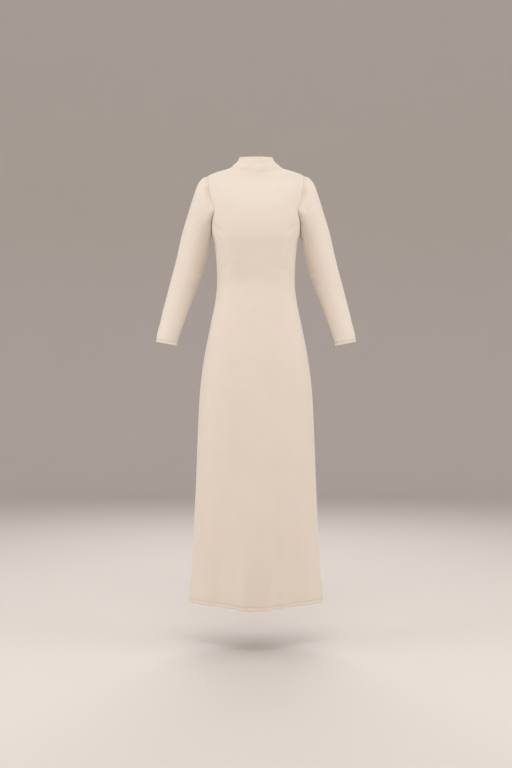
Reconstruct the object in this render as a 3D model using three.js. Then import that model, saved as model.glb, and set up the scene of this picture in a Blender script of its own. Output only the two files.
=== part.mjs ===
// A long, plain jersey dress with a mock neck and long set-in sleeves, filled out
// as if worn, in millimetres. +Z is up, the front faces -Y and +X is the wearer's left.
// The origin is at the middle of the neck, level with the inner ends of the shoulders.
import * as THREE from 'three';

// Driving dimensions of the dress.
const CLOTH = 1.6; // thickness of the cloth wall
const SEAM_GAP = 0.4; // clear space left between two sewn pieces
const HEM_Z = -1415.5; // bottom edge at the side seams
const UNDERARM_Z = -224; // top of the side seam
const SHOULDER_TIP_Z = -29; // where the shoulder seam meets the sleeve
const COLLAR_SEAM_Z = -3; // neck band to shoulder, at the sides
const COLLAR_TOP_Z = 30.5; // top edge of the neck band, at the sides
const LIFT_CURVE = 1.4; // how a section's dip and climb fade towards the side seam

// How finely the cloth is faceted.
const PANEL_COLUMNS = 22;
const COLLAR_COLUMNS = 36;
const COLLAR_ROWS = 5;

// Cross-sections of the body from hem to neck. half: from the centre to the side seam;
// front, back: depth on the centre line; mid: where the side seam lies front to back;
// the pinches: 1 is an oval, more is a lens with pinched sides; drop, rise: how far the
// section dips at the centre front and climbs at the centre back.
const SECTIONS = [
  { z: HEM_Z, half: 216.5, front: 118.5, back: 126, mid: 0, frontPinch: 2.45, backPinch: 2.1, drop: 0, rise: 0 },
  { z: -1370, half: 215.6, front: 118.8, back: 126, mid: 0, frontPinch: 2.4, backPinch: 2.05, drop: 0, rise: 0 },
  { z: -1310, half: 208.8, front: 119.5, back: 126, mid: 0, frontPinch: 2.25, backPinch: 1.95, drop: 0, rise: 0 },
  { z: -1200, half: 203.0, front: 121.5, back: 125, mid: 0, frontPinch: 1.95, backPinch: 1.75, drop: 0, rise: 0 },
  { z: -1000, half: 194.1, front: 123, back: 124, mid: 0, frontPinch: 1.5, backPinch: 1.4, drop: 0, rise: 0 },
  { z: -840, half: 188.0, front: 121, back: 123, mid: 0, frontPinch: 1.22, backPinch: 1.2, drop: 0, rise: 0 },
  { z: -720, half: 181.0, front: 117, back: 123, mid: 0, frontPinch: 1.1, backPinch: 1.1, drop: 0, rise: 0 },
  { z: -620, half: 168.0, front: 112, back: 120, mid: 0, frontPinch: 1.03, backPinch: 1.03, drop: 0, rise: 0 },
  { z: -520, half: 149.0, front: 106, back: 107, mid: 0, frontPinch: 0.97, backPinch: 0.97, drop: 0, rise: 0 },
  { z: -440, half: 132.6, front: 100, back: 90, mid: 0, frontPinch: 0.95, backPinch: 0.95, drop: 0, rise: 0 },
  { z: -380, half: 126.3, front: 99, back: 80, mid: 0, frontPinch: 0.94, backPinch: 0.94, drop: 0, rise: 0 },
  { z: -300, half: 129.0, front: 114.5, back: 87, mid: 0, frontPinch: 0.93, backPinch: 0.93, drop: 0, rise: 0 },
  { z: -250, half: 134.0, front: 125, back: 94, mid: 0, frontPinch: 0.93, backPinch: 0.93, drop: 0, rise: 0 },
  { z: -237, half: 137.2, front: 126.7, back: 95, mid: 0, frontPinch: 0.935, backPinch: 0.935, drop: 0, rise: 0 },
  { z: UNDERARM_Z, half: 143.6, front: 127.5, back: 96, mid: 0, frontPinch: 1.06, backPinch: 1.06, drop: 0, rise: 0 },
  { z: -214, half: 145.1, front: 127.5, back: 97, mid: 0, frontPinch: 1.05, backPinch: 1.05, drop: 0, rise: 0 },
  { z: -203, half: 147.0, front: 127.2, back: 98, mid: 0, frontPinch: 1.04, backPinch: 1.04, drop: 0.5, rise: 0 },
  { z: -183, half: 149.6, front: 125.5, back: 99, mid: 0, frontPinch: 1.015, backPinch: 1.015, drop: 1, rise: 0 },
  { z: -133, half: 154.0, front: 115, back: 99, mid: 0, frontPinch: 0.985, backPinch: 0.985, drop: 5, rise: 0 },
  { z: -91, half: 161.0, front: 99, back: 94, mid: 2, frontPinch: 0.97, backPinch: 0.97, drop: 10, rise: 0 },
  { z: -60, half: 166.0, front: 87, back: 86, mid: 4, frontPinch: 1.1, backPinch: 1.1, drop: 16, rise: 1 },
  { z: -40, half: 164.5, front: 80, back: 79, mid: 5, frontPinch: 1.75, backPinch: 1.75, drop: 21, rise: 2 },
  { z: SHOULDER_TIP_Z, half: 156.0, front: 76.5, back: 75, mid: 5, frontPinch: 2.1, backPinch: 2.1, drop: 24, rise: 4 },
  { z: -22, half: 144.6, front: 74.5, back: 73, mid: 5, frontPinch: 2.1, backPinch: 2.1, drop: 25, rise: 5 },
  { z: -14, half: 122.6, front: 72, back: 71, mid: 4, frontPinch: 1.95, backPinch: 1.95, drop: 25, rise: 7 },
  { z: -7, half: 95.6, front: 69.5, back: 69, mid: 3, frontPinch: 1.5, backPinch: 1.5, drop: 24, rise: 9 },
  { z: COLLAR_SEAM_Z, half: 84.0, front: 68, back: 67, mid: 2, frontPinch: 1.25, backPinch: 1.25, drop: 23, rise: 10 },
  { z: 6, half: 73.0, front: 65, back: 64, mid: 0, frontPinch: 1.05, backPinch: 1.05, drop: 20, rise: 12 },
  { z: 15, half: 62.4, front: 61.5, back: 60.5, mid: -1, frontPinch: 1.0, backPinch: 1.0, drop: 17, rise: 13 },
  { z: 21, half: 57.3, front: 59.8, back: 59.2, mid: -2, frontPinch: 1.0, backPinch: 1.0, drop: 14.5, rise: 14.2 },
  { z: 26, half: 55.2, front: 58.5, back: 58.4, mid: -2, frontPinch: 1.0, backPinch: 1.0, drop: 12, rise: 15.2 },
  { z: COLLAR_TOP_Z, half: 53.8, front: 57.3, back: 57.2, mid: -2, frontPinch: 1.0, backPinch: 1.0, drop: 9.8, rise: 16.4 },
];

// Heights of the panel rows, from hem to underarm and from shoulder tip to neck band.
const SKIRT_ROWS = [
  HEM_Z, -1396, -1365, -1325, -1270, -1200, -1120, -1035, -950, -865, -785, -710,
  -645, -585, -530, -480, -430, -380, -330, -285, -256, -241, -231,
];
const SHOULDER_ROWS = [-25.5, -22, -18, -14, -10, -7];

// The armhole, from the underarm up to the shoulder tip: how far out its seam runs.
const ARMHOLE = [
  { z: UNDERARM_Z, front: 143.6, back: 143.6 },
  { z: -221.6, front: 143.6, back: 143.6 },
  { z: -214.4, front: 143.5, back: 143.7 },
  { z: -202.7, front: 143.4, back: 143.8 },
  { z: -187.3, front: 142.8, back: 143.4 },
  { z: -168.8, front: 138.2, back: 139.4 },
  { z: -148.2, front: 133.4, back: 135.2 },
  { z: -126.5, front: 138.0, back: 138.8 },
  { z: -104.8, front: 145.6, back: 145.0 },
  { z: -84.2, front: 150.4, back: 149.4 },
  { z: -65.7, front: 152.9, back: 152.2 },
  { z: -50.3, front: 154.5, back: 154.1 },
  { z: -38.6, front: 155.3, back: 155.1 },
  { z: -31.4, front: 155.85, back: 155.75 },
  { z: SHOULDER_TIP_Z, front: 156.0, back: 156.0 },
];

// Soft folds in the skirt. x: where the fold meets the hem; wide: its half width;
// out: how far it stands out of the cloth, or in if it is negative; top: where it
// starts; flat: 2 is a round fold, 4 a broad one with a level crown.
const FOLDS = {
  front: [
    { x: -1, wide: 55, out: 25, top: -900, flat: 4 },
    { x: -44, wide: 24, out: 3, top: -1060, flat: 2 },
    { x: 54, wide: 26, out: 2, top: -1000, flat: 2 },
    { x: 4, wide: 22, out: -5, top: -1100, flat: 2 },
    { x: -119, wide: 30, out: -9, top: -880, flat: 2 },
    { x: 120, wide: 32, out: -10, top: -960, flat: 2 },
  ],
  back: [
    { x: -22, wide: 56, out: 10, top: -930, flat: 4 },
    { x: 58, wide: 30, out: 5, top: -820, flat: 2 },
    { x: -96, wide: 26, out: -6, top: -990, flat: 2 },
    { x: 18, wide: 20, out: -5, top: -1090, flat: 2 },
    { x: 116, wide: 24, out: -5, top: -900, flat: 2 },
  ],
};

// The sleeve from the armhole to the cuff. Each row is a slanted oval: its inner and
// outer ends as seen from the front, where it lies front to back (mid), half its
// depth (deep), and how far it has turned from the armhole's shape to an oval (round).
const SLEEVE = [
  { innerX: 144.6, innerZ: -226.5, outerX: 171, outerZ: -34.4, mid: -1, deep: 58, round: 0.3 },
  { innerX: 145.2, innerZ: -229, outerX: 184.5, outerZ: -49, mid: -1, deep: 56, round: 0.5 },
  { innerX: 146.0, innerZ: -232, outerX: 193, outerZ: -66, mid: 0, deep: 54, round: 0.7 },
  { innerX: 147.0, innerZ: -236, outerX: 201, outerZ: -89, mid: 2, deep: 52, round: 0.85 },
  { innerX: 148.6, innerZ: -243, outerX: 210, outerZ: -116, mid: 4, deep: 51, round: 0.95 },
  { innerX: 151.0, innerZ: -256, outerX: 219.5, outerZ: -147, mid: 6, deep: 50, round: 1 },
  { innerX: 154.6, innerZ: -275, outerX: 230.5, outerZ: -182, mid: 7, deep: 49.5, round: 1 },
  { innerX: 160, innerZ: -300, outerX: 242.5, outerZ: -224, mid: 9, deep: 49.5, round: 1 },
  { innerX: 169.5, innerZ: -330, outerX: 253, outerZ: -272, mid: 9, deep: 49, round: 1 },
  { innerX: 177.5, innerZ: -360, outerX: 264.5, outerZ: -320, mid: 9, deep: 48, round: 1 },
  { innerX: 189.5, innerZ: -390, outerX: 275, outerZ: -360, mid: 8, deep: 46, round: 1 },
  { innerX: 201.5, innerZ: -420, outerX: 284.5, outerZ: -397, mid: 5, deep: 44, round: 1 },
  { innerX: 212.5, innerZ: -448, outerX: 293, outerZ: -432, mid: 1, deep: 42.5, round: 1 },
  { innerX: 223.5, innerZ: -478, outerX: 302, outerZ: -467, mid: -4, deep: 40.5, round: 1 },
  { innerX: 234, innerZ: -509, outerX: 309.2, outerZ: -501, mid: -10, deep: 38.5, round: 1 },
  { innerX: 245, innerZ: -540, outerX: 317, outerZ: -532, mid: -16, deep: 37, round: 1 },
  { innerX: 252, innerZ: -564, outerX: 321, outerZ: -553, mid: -21, deep: 36, round: 1 },
  { innerX: 256, innerZ: -582, outerX: 322.5, outerZ: -569, mid: -24, deep: 35.5, round: 1 },
];

const jersey = () => new THREE.MeshStandardMaterial({
  color: 0xe4d3c0,
  roughness: 0.85,
  metalness: 0,
  side: THREE.DoubleSide,
});

// One column of a table at a place between its rows, on a smooth curve through them.
function valueAt(table, key, column, place) {
  const last = table.length - 1;
  let i = 0;
  while (i < last - 1 && place > table[i + 1][key]) i += 1;
  const slope = (k) => {
    const a = table[Math.max(k - 1, 0)];
    const b = table[Math.min(k + 1, last)];
    return (b[column] - a[column]) / (b[key] - a[key]);
  };
  const span = table[i + 1][key] - table[i][key];
  const t = THREE.MathUtils.clamp((place - table[i][key]) / span, 0, 1);
  const t2 = t * t;
  const t3 = t2 * t;
  return (2 * t3 - 3 * t2 + 1) * table[i][column]
    + (t3 - 2 * t2 + t) * span * slope(i)
    + (3 * t2 - 2 * t3) * table[i + 1][column]
    + (t3 - t2) * span * slope(i + 1);
}

function sectionAt(z) {
  const section = {};
  for (const column of Object.keys(SECTIONS[0])) {
    section[column] = valueAt(SECTIONS, 'z', column, z);
  }
  return section;
}

// How far the folds push the cloth out at a point of the skirt.
function foldsAt(side, x, z, half) {
  const hemX = (x / half) * SECTIONS[0].half;
  return FOLDS[side].reduce((sum, fold) => {
    const grown = THREE.MathUtils.smoothstep(-z, -fold.top, -HEM_Z);
    const across = Math.exp(-((Math.abs(hemX - fold.x) / fold.wide) ** fold.flat));
    return sum + fold.out * grown * across;
  }, 0);
}

// A point of the body. turn is the angle from the centre line to the side seam.
function bodyPoint(side, turn, z) {
  const section = sectionAt(z);
  const facing = side === 'front' ? -1 : 1;
  const bulge = Math.max(Math.cos(turn), 0) ** section[`${side}Pinch`];
  const lift = side === 'front' ? -section.drop : section.rise;
  const x = section.half * Math.sin(turn);
  const folds = foldsAt(side, x, z, section.half) * Math.min(1, 3 * bulge);
  const y = section.mid + facing * (SEAM_GAP / 2 + section[side] * bulge + folds);
  return new THREE.Vector3(x, y, z + lift * bulge ** LIFT_CURVE);
}

const RIGHT_ANGLE = Math.PI / 2;

// How far round a row of the body reaches: to the side seam, armhole or shoulder seam.
function reach(side, z) {
  if (z <= UNDERARM_Z || z >= SHOULDER_TIP_Z) return RIGHT_ANGLE;
  const out = valueAt(ARMHOLE, 'z', side, z) / sectionAt(z).half;
  return Math.asin(Math.min(out, 1));
}

// The direction that a grid of points faces at one of them.
function facingAt(grid, row, column, wraps) {
  const count = grid[row].length;
  const left = wraps ? (column + count - 1) % count : Math.max(column - 1, 0);
  const right = wraps ? (column + 1) % count : Math.min(column + 1, count - 1);
  const below = grid[Math.max(row - 1, 0)][column];
  const above = grid[Math.min(row + 1, grid.length - 1)][column];
  const across = grid[row][right].clone().sub(grid[row][left]);
  const up = above.clone().sub(below);
  return across.cross(up).normalize();
}

// The inner face of a wall: every point moved in by the cloth's thickness.
function innerFace(outer, wraps, inwardAt) {
  return outer.map((points, row) => points.map((point, column) => {
    const inward = inwardAt(row, column) ?? facingAt(outer, row, column, wraps).negate();
    return point.clone().addScaledVector(inward, CLOTH);
  }));
}

// A closed wall between an outer and an inner grid of points.
function wall(name, outer, inner, wraps) {
  const rows = outer.length;
  const columns = outer[0].length;
  const positions = [...outer.flat(), ...inner.flat()].flatMap((p) => [p.x, p.y, p.z]);
  const at = (layer, row, column) => (layer * rows + row) * columns + (column % columns);
  const index = [];
  const quad = (a, b, c, d) => index.push(a, b, c, a, c, d);
  const spans = wraps ? columns : columns - 1;
  for (let row = 0; row < rows - 1; row += 1) {
    for (let c = 0; c < spans; c += 1) {
      quad(at(0, row, c), at(0, row, c + 1), at(0, row + 1, c + 1), at(0, row + 1, c));
      quad(at(1, row, c), at(1, row + 1, c), at(1, row + 1, c + 1), at(1, row, c + 1));
    }
    if (!wraps) {
      const end = columns - 1;
      quad(at(0, row, 0), at(0, row + 1, 0), at(1, row + 1, 0), at(1, row, 0));
      quad(at(0, row, end), at(1, row, end), at(1, row + 1, end), at(0, row + 1, end));
    }
  }
  const top = rows - 1;
  for (let c = 0; c < spans; c += 1) {
    quad(at(0, 0, c), at(1, 0, c), at(1, 0, c + 1), at(0, 0, c + 1));
    quad(at(0, top, c), at(0, top, c + 1), at(1, top, c + 1), at(1, top, c));
  }
  const geometry = new THREE.BufferGeometry();
  geometry.setAttribute('position', new THREE.Float32BufferAttribute(positions, 3));
  geometry.setIndex(index);
  geometry.computeVertexNormals();
  const mesh = new THREE.Mesh(geometry, jersey());
  mesh.name = name;
  return mesh;
}

// Front and back. The columns run from one side seam to the other, so that the outer
// face always faces out: left to right on the front, right to left on the back.
function panel(side) {
  const direction = side === 'front' ? 1 : -1;
  const armholeRows = ARMHOLE.map((row) => row.z);
  const heights = [...SKIRT_ROWS, ...armholeRows, ...SHOULDER_ROWS, COLLAR_SEAM_Z - SEAM_GAP / 2];
  const outer = heights.map((z) => {
    const points = [];
    for (let c = 0; c <= PANEL_COLUMNS; c += 1) {
      const share = (2 * c) / PANEL_COLUMNS - 1;
      points.push(bodyPoint(side, direction * share * reach(side, z), z));
    }
    return points;
  });
  // On a side or shoulder seam the wall's edge stays in the plane of the seam, and no
  // part of the inner face crosses that plane.
  const onSeam = (row, column) => {
    const z = heights[row];
    const atEdge = column === 0 || column === PANEL_COLUMNS;
    if (!atEdge || (z > UNDERARM_Z && z < SHOULDER_TIP_Z)) return undefined;
    return facingAt(outer, row, column, false).setY(0).normalize().negate();
  };
  const inner = innerFace(outer, false, onSeam);
  const facing = side === 'front' ? -1 : 1;
  inner.forEach((points, row) => {
    const { mid } = sectionAt(heights[row]);
    points.forEach((p) => p.setY(mid + facing * Math.max(facing * (p.y - mid), SEAM_GAP / 2)));
  });
  return wall(side, outer, inner, false);
}

// The armhole as a loop of points: up its front from the underarm, and down its back.
function armholeLoop() {
  const edge = (side, z) => {
    const point = bodyPoint(side, reach(side, z), z);
    return point.setX(point.x + SEAM_GAP);
  };
  const heights = ARMHOLE.map((row) => row.z);
  const up = heights.map((z) => edge('front', z));
  const down = heights.slice(1, -1).reverse().map((z) => edge('back', z));
  const middle = (z) => edge('front', z).add(edge('back', z)).multiplyScalar(0.5);
  up[0] = middle(heights[0]);
  up[up.length - 1] = middle(heights[heights.length - 1]);
  return [...up, ...down];
}

// The oval that a row of the sleeve table describes: its centre, its half length from
// inner to outer end, and the direction square to it that points down the arm.
function ovalOf(row) {
  const inner = new THREE.Vector3(row.innerX, row.mid, row.innerZ);
  const outer = new THREE.Vector3(row.outerX, row.mid, row.outerZ);
  const half = outer.clone().sub(inner).multiplyScalar(0.5);
  return {
    centre: inner.add(half),
    half,
    onward: new THREE.Vector3(half.z, 0, -half.x).normalize(),
  };
}

function sleeve(name, hand) {
  const loop = armholeLoop();
  const top = loop[loop.length / 2];
  const first = ovalOf({
    innerX: loop[0].x, innerZ: loop[0].z, outerX: top.x, outerZ: top.z, mid: loop[0].y,
  });
  const armholeDeep = Math.max(...loop.map((point) => Math.abs(point.y - loop[0].y)));
  // Where each loop point lies: along the oval, front to back, and out of its plane.
  const places = loop.map((point) => {
    const from = point.clone().sub(first.centre);
    return {
      along: from.dot(first.half) / first.half.lengthSq(),
      across: -from.y / armholeDeep,
      onward: from.dot(first.onward),
    };
  });
  const rings = SLEEVE.map((row) => {
    const oval = ovalOf(row);
    return places.map((place, i) => {
      const angle = (2 * Math.PI * i) / places.length;
      const along = THREE.MathUtils.lerp(place.along, -Math.cos(angle), row.round);
      const across = THREE.MathUtils.lerp(place.across, Math.sin(angle), row.round);
      const onward = place.onward * (1 - row.round);
      return oval.centre.clone()
        .addScaledVector(oval.half, along)
        .addScaledVector(oval.onward, onward)
        .add(new THREE.Vector3(0, -across * row.deep, 0));
    });
  });
  // Rows run from the cuff up to the armhole, and are mirrored for the other hand.
  const outer = [loop, ...rings].reverse();
  const lastRow = outer.length - 1;
  const hole = first.centre;
  const atArmhole = (row, column) => {
    if (row !== lastRow) return undefined;
    const inward = hole.clone().sub(loop[column]);
    return inward.setX(0).normalize();
  };
  const inner = innerFace(outer, true, atArmhole);
  if (hand > 0) return wall(name, outer, inner, true);
  const mirrored = (grid) => grid.map((points) => points
    .map((point) => point.clone().setX(-point.x))
    .reverse());
  return wall(name, mirrored(outer), mirrored(inner), true);
}

// The neck band, a ring that stands up from the shoulders.
function collar() {
  const outer = [];
  for (let row = 0; row <= COLLAR_ROWS; row += 1) {
    const bottom = COLLAR_SEAM_Z + SEAM_GAP / 2;
    const z = THREE.MathUtils.lerp(bottom, COLLAR_TOP_Z, row / COLLAR_ROWS);
    const points = [];
    for (let c = 0; c < COLLAR_COLUMNS; c += 1) {
      const turn = (2 * Math.PI * c) / COLLAR_COLUMNS;
      const side = Math.cos(turn) > 0 ? 'front' : 'back';
      const sideTurn = Math.asin(Math.sin(turn));
      points.push(bodyPoint(side, sideTurn, z));
    }
    outer.push(points);
  }
  return wall('collar', outer, innerFace(outer, true, () => undefined), true);
}

const dress = new THREE.Group();
dress.add(panel('front'), panel('back'), collar());
dress.add(sleeve('sleeve_left', 1), sleeve('sleeve_right', -1));

export default dress;
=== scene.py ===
"""A long cream jersey dress with a mock neck and set-in sleeves, filled out as if worn.

One operator makes each piece, from the tables below. The tables are in millimetres,
with +Z up, the front facing -Y and +X on the wearer's left. Meshes are in metres.
"""
import math

import bpy
import numpy as np
from bpy.props import FloatProperty, FloatVectorProperty, PointerProperty
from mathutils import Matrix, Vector


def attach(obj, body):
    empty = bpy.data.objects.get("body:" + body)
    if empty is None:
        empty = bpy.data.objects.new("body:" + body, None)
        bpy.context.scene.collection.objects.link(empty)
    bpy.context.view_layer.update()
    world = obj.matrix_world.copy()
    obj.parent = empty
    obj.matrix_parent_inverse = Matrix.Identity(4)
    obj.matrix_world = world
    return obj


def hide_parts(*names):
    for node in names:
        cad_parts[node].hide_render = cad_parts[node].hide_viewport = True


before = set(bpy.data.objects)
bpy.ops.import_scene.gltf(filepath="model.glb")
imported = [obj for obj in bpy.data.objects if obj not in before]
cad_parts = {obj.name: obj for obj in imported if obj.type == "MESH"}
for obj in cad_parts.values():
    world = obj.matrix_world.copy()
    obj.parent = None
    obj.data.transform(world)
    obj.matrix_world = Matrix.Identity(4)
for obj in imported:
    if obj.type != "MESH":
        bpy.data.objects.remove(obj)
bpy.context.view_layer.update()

bl_info = {
    "name": "Inner dress",
    "version": (1, 0, 0),
    "blender": (4, 5, 0),
    "location": "View3D > Sidebar > Dress",
    "description": "Makes a long jersey dress with a mock neck, piece by piece",
    "category": "Add Mesh",
}

BODY = "root"
UV_MAP = "cloth"
MM = 0.001
RIGHT_ANGLE = math.pi / 2
OUTWARD = {"front": -1, "back": 1}  # which way each side of the dress faces along Y

# Heights, in millimetres from the inner ends of the shoulders.
HEM_Z = -1415.5
UNDERARM_Z = -224.0
SHOULDER_TIP_Z = -29.0
COLLAR_SEAM_Z = -3.0
COLLAR_TOP_Z = 30.5
SEAM_GAP = 0.1
LIFT_CURVE = 1.4  # how the dip and climb of a section fade towards the side seam
FOLD_RISE = 3  # how soon the folds reach their full height beside the side seam


def table(columns, *rows):
    """A table with named columns, each of them an array."""
    return dict(zip(columns.split(), np.array(rows, float).T))


# Cross-sections of the body. half: centre to side seam; front, back: depth on the
# centre line; mid: where the side seam lies; the pinches: 1 is an oval, more is a lens
# with pinched sides; drop, rise: the section's dip at centre front and climb at centre back.
SECTIONS = table(
    "z half front back mid front_pinch back_pinch drop rise",
    (HEM_Z, 216.5, 118.5, 126, 0, 2.45, 2.1, 0, 0),
    (-1370, 215.6, 118.8, 126, 0, 2.4, 2.05, 0, 0),
    (-1310, 208.8, 119.5, 126, 0, 2.25, 1.95, 0, 0),
    (-1200, 203.0, 121.5, 125, 0, 1.95, 1.75, 0, 0),
    (-1000, 194.1, 123, 124, 0, 1.5, 1.4, 0, 0),
    (-840, 188.0, 121, 123, 0, 1.22, 1.2, 0, 0),
    (-720, 181.0, 117, 123, 0, 1.1, 1.1, 0, 0),
    (-620, 168.0, 112, 120, 0, 1.03, 1.03, 0, 0),
    (-520, 149.0, 106, 107, 0, 0.97, 0.97, 0, 0),
    (-440, 132.6, 100, 90, 0, 0.95, 0.95, 0, 0),
    (-380, 126.3, 99, 80, 0, 0.94, 0.94, 0, 0),
    (-300, 129.0, 114.5, 87, 0, 0.93, 0.93, 0, 0),
    (-250, 134.0, 125, 94, 0, 0.93, 0.93, 0, 0),
    (-237, 137.2, 126.7, 95, 0, 0.935, 0.935, 0, 0),
    (UNDERARM_Z, 143.6, 127.5, 96, 0, 1.06, 1.06, 0, 0),
    (-214, 145.1, 127.5, 97, 0, 1.05, 1.05, 0, 0),
    (-203, 147.0, 127.2, 98, 0, 1.04, 1.04, 0.5, 0),
    (-183, 149.6, 125.5, 99, 0, 1.015, 1.015, 1, 0),
    (-133, 154.0, 115, 99, 0, 0.985, 0.985, 5, 0),
    (-91, 161.0, 99, 94, 2, 0.97, 0.97, 10, 0),
    (-60, 166.0, 87, 86, 4, 1.1, 1.1, 16, 1),
    (-40, 164.5, 80, 79, 5, 1.75, 1.75, 21, 2),
    (SHOULDER_TIP_Z, 156.0, 76.5, 75, 5, 2.1, 2.1, 24, 4),
    (-22, 144.6, 74.5, 73, 5, 2.1, 2.1, 25, 5),
    (-14, 122.6, 72, 71, 4, 1.95, 1.95, 25, 7),
    (-7, 95.6, 69.5, 69, 3, 1.5, 1.5, 24, 9),
    (COLLAR_SEAM_Z, 84.0, 68, 67, 2, 1.25, 1.25, 23, 10),
    (6, 73.0, 65, 64, 0, 1.05, 1.05, 20, 12),
    (15, 62.4, 61.5, 60.5, -1, 1.0, 1.0, 17, 13),
    (21, 57.3, 59.8, 59.2, -2, 1.0, 1.0, 14.5, 14.2),
    (26, 55.2, 58.5, 58.4, -2, 1.0, 1.0, 12, 15.2),
    (COLLAR_TOP_Z, 53.8, 57.3, 57.2, -2, 1.0, 1.0, 9.8, 16.4),
)

# The armhole from underarm to shoulder tip: how far out its seam runs.
ARMHOLE = table(
    "z front back",
    (UNDERARM_Z, 143.6, 143.6),
    (-221.6, 143.6, 143.6),
    (-214.4, 143.5, 143.7),
    (-202.7, 143.4, 143.8),
    (-187.3, 142.8, 143.4),
    (-168.8, 138.2, 139.4),
    (-148.2, 133.4, 135.2),
    (-126.5, 138.0, 138.8),
    (-104.8, 145.6, 145.0),
    (-84.2, 150.4, 149.4),
    (-65.7, 152.9, 152.2),
    (-50.3, 154.5, 154.1),
    (-38.6, 155.3, 155.1),
    (-31.4, 155.85, 155.75),
    (SHOULDER_TIP_Z, 156.0, 156.0),
)
ARMHOLE_SPANS = len(ARMHOLE["z"]) - 1

# Deep soft folds of the skirt. x: where the fold meets the hem; wide: half its width;
# out: how far it stands out, or in if negative; top: where it starts; flat: 2 is a
# round fold, 4 a broad one with a level crown.
FOLDS = {
    "front": (
        dict(x=-1, wide=55, out=25, top=-900, flat=4),
        dict(x=-44, wide=24, out=3, top=-1060, flat=2),
        dict(x=54, wide=26, out=2, top=-1000, flat=2),
        dict(x=4, wide=22, out=-5, top=-1100, flat=2),
        dict(x=-119, wide=30, out=-9, top=-880, flat=2),
        dict(x=120, wide=32, out=-10, top=-960, flat=2),
    ),
    "back": (
        dict(x=-22, wide=56, out=10, top=-930, flat=4),
        dict(x=58, wide=30, out=5, top=-820, flat=2),
        dict(x=-96, wide=26, out=-6, top=-990, flat=2),
        dict(x=18, wide=20, out=-5, top=-1090, flat=2),
        dict(x=116, wide=24, out=-5, top=-900, flat=2),
    ),
}

# The sleeve as slanted ovals from armhole to cuff: the oval's inner and outer ends
# from the front, where it lies front to back, half its depth, and how far it has
# turned from the armhole's shape to an oval.
SLEEVE = table(
    "inner_x inner_z outer_x outer_z mid deep round",
    (144.6, -226.5, 171, -34.4, -1, 58, 0.3),
    (145.2, -229, 184.5, -49, -1, 56, 0.5),
    (146.0, -232, 193, -66, 0, 54, 0.7),
    (147.0, -236, 201, -89, 2, 52, 0.85),
    (148.6, -243, 210, -116, 4, 51, 0.95),
    (151.0, -256, 219.5, -147, 6, 50, 1),
    (154.6, -275, 230.5, -182, 7, 49.5, 1),
    (160, -300, 242.5, -224, 9, 49.5, 1),
    (169.5, -330, 253, -272, 9, 49, 1),
    (177.5, -360, 264.5, -320, 9, 48, 1),
    (189.5, -390, 275, -360, 8, 46, 1),
    (201.5, -420, 284.5, -397, 5, 44, 1),
    (212.5, -448, 293, -432, 1, 42.5, 1),
    (223.5, -478, 302, -467, -4, 40.5, 1),
    (234, -509, 309.2, -501, -10, 38.5, 1),
    (245, -540, 317, -532, -16, 37, 1),
    (252, -564, 321, -553, -21, 36, 1),
    (256, -582, 322.5, -569, -24, 35.5, 1),
)

# How deep the armhole's seam sinks in where the arm presses the cloth together.
SUNK_SEAM = table(
    "z deep",
    (UNDERARM_Z, 0.1),
    (-208, 0.4),
    (-190, 1.15),
    (-172, 0.85),
    (-156, 0.4),
    (-143, 0.0),
)

# Creases of the front and back: x and z of one end and of the other, as seen from the
# front, then bow, wide and out. bow: how far the middle swings to the side; wide: half
# width; out: height, or depth if negative. All fade away at both ends.
PANEL_CREASES = {
    "front": (
        # hollow of the throat and between the bust
        (4, -2, 0, -140, 2, 14, -1.1),
        (0, -150, 4, -345, 3, 34, -3.2),
        (-86, -168, -80, -300, -6, 30, 1.6),
        (88, -174, 84, -296, 6, 28, 1.5),
        # drags from the underarms
        (-139, -194, -94, -246, 5, 8, -1.8),
        (-135, -216, -104, -270, 4, 7, -1.0),
        (138, -192, 90, -240, -5, 9, -2.0),
        (134, -217, 106, -264, -4, 6, -1.0),
        # beside the armholes
        (144, -58, 137, -84, 0, 3, -0.9),
        (140, -98, 141, -142, 0, 3.5, 0.9),
        (130, -138, 142, -178, 1, 2.5, -1.2),
        (-142, -62, -136, -88, 0, 3.5, -0.8),
        (-138, -104, -139, -144, 0, 4, 0.7),
        (-131, -142, -141, -176, -1, 3, -0.9),
        # waist
        (-120, -352, -56, -328, 6, 10, -1.1),
        (-113, -394, -42, -374, 5, 12, -0.9),
        (118, -366, 50, -338, -7, 11, -1.2),
        (110, -412, 38, -398, -4, 10, -0.8),
        (-64, -432, 24, -446, 4, 14, -0.7),
        # skirt
        (-34, -470, -22, -900, 6, 26, -1.5),
        (38, -520, 30, -960, -5, 22, -1.2),
        (-110, -640, -124, -1080, -6, 24, -1.6),
        (112, -600, 128, -1120, 7, 26, -1.5),
        (-70, -900, -62, -1330, 5, 18, 1.3),
        (76, -860, 70, -1300, -4, 20, 1.2),
    ),
    "back": (
        # below the neck and across the shoulder blades
        (0, -20, 5, -152, 2, 16, -1.2),
        (-72, -66, -62, -196, -4, 36, 2.0),
        (74, -72, 64, -188, 5, 33, 1.8),
        (-134, -200, -78, -234, -5, 8, -1.6),
        (131, -204, 84, -246, 6, 9, -1.7),
        (139, -96, 138, -140, 0, 4, 0.8),
        (-138, -92, -137, -136, 0, 4, 0.8),
        # small of the back
        (-98, -330, -8, -354, -8, 9, -2.0),
        (100, -320, 6, -362, 9, 10, -1.9),
        (-86, -378, 32, -394, -6, 8, -1.5),
        (-72, -420, 92, -406, 5, 11, -1.6),
        (-42, -300, 62, -313, -4, 9, -0.9),
        # under the seat, and down the skirt
        (-102, -640, -18, -670, -10, 14, -1.6),
        (98, -630, 16, -662, 9, 13, -1.5),
        (-60, -700, -84, -1360, 6, 26, -2.4),
        (44, -690, 40, -1385, -5, 22, -2.0),
        (-2, -620, -14, -1400, 4, 30, 2.2),
        (122, -760, 138, -1330, 5, 22, -1.8),
    ),
}

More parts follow.
